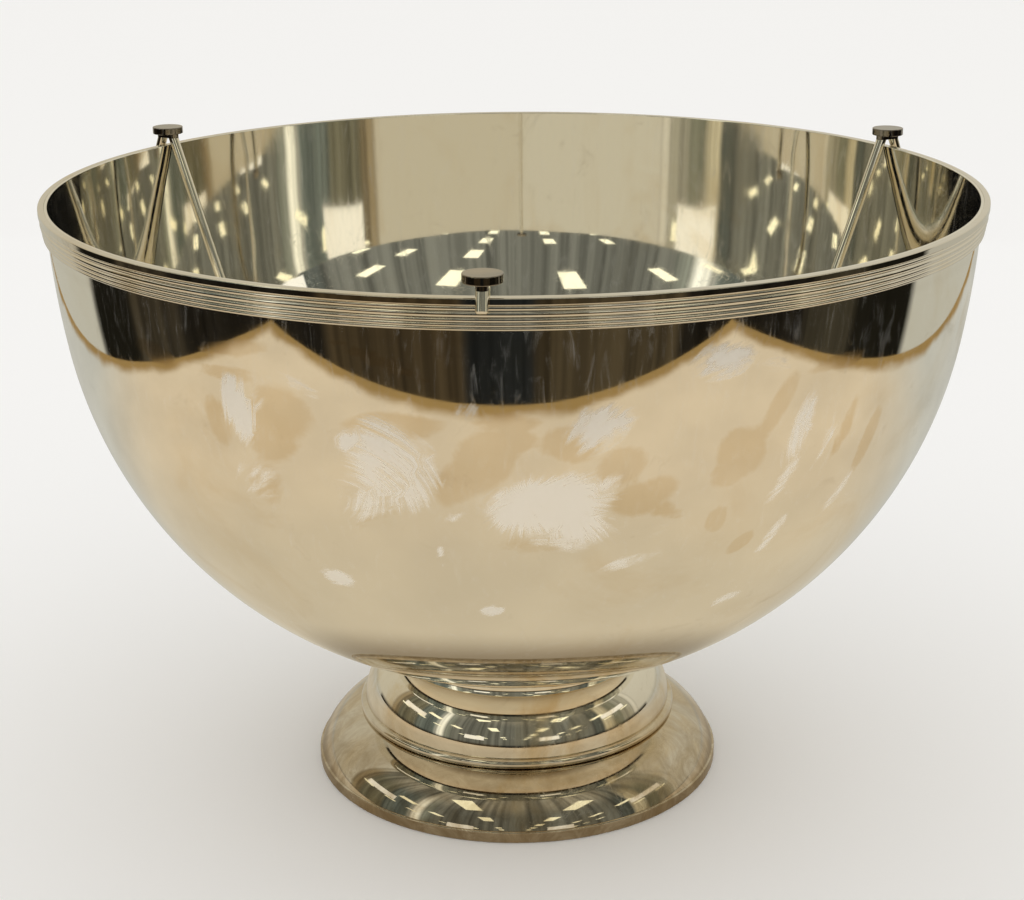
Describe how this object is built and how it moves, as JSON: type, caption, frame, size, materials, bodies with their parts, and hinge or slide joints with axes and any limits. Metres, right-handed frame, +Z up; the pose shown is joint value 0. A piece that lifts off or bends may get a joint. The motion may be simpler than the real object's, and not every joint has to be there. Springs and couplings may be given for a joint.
{
  "type": "punch bowl",
  "caption": "Large footed silver-plated punch bowl with a reeded rim band, a two-tier foot and a lift-out ice rack hung over the rim on knobbed hooks.",
  "frame": {"origin": "on the bowl's axis, at the height of the surface that the foot stands on", "axes": "+Z up along the bowl's axis; -Y towards the hook called front; +X to the right seen from the front"},
  "size_m": [0.4, 0.4062, 0.2759],
  "materials": {
    "bowl_plate": "mirror-polished silver plate, warm tarnish in patches",
    "band_plate": "polished silver plate, dark tarnish in the grooves",
    "foot_plate": "mirror-polished silver plate, golden-brown tarnish patches",
    "rack_plate": "polished silver-plated rod and sheet",
    "dark_plate": "dark tarnished silver plate"
  },
  "bodies": {
    "bowl": {"bowl_shell": "bowl_plate", "rim_band": "band_plate", "neck_collar": "foot_plate", "foot_upper_tier": "foot_plate", "foot_lower_tier": "foot_plate", "foot_base_ring": "foot_plate"},
    "ice_rack": {"rack_ring": "rack_plate", "drain_plate": "rack_plate", "hanger_rod_front": "rack_plate", "hook_leg_front": "rack_plate", "hook_head_front": "dark_plate", "hanger_rod_right": "rack_plate", "hook_leg_right": "rack_plate", "hook_head_right": "dark_plate", "hanger_rod_left": "rack_plate", "hook_leg_left": "rack_plate", "hook_head_left": "dark_plate"},
    "knob_front_body": {"knob_front": "dark_plate"},
    "knob_right_body": {"knob_right": "dark_plate"},
    "knob_left_body": {"knob_left": "dark_plate"}
  },
  "joints": [
    {"name": "rack_lift", "type": "slide", "parent": "bowl", "child": "ice_rack", "axis": [0, 0, 1], "range_m": [0, 0.17]},
    {"name": "knob_front_turn", "type": "hinge", "parent": "ice_rack", "child": "knob_front_body", "pos_m": [0, -0.19805, 0.2727], "axis": [0, 0, 1], "range_deg": [0, 1440]},
    {"name": "knob_right_turn", "type": "hinge", "parent": "ice_rack", "child": "knob_right_body", "pos_m": [0.17152, 0.09903, 0.2727], "axis": [0, 0, 1], "range_deg": [0, 1440]},
    {"name": "knob_left_turn", "type": "hinge", "parent": "ice_rack", "child": "knob_left_body", "pos_m": [-0.17152, 0.09903, 0.2727], "axis": [0, 0, 1], "range_deg": [0, 1440]}
  ]
}
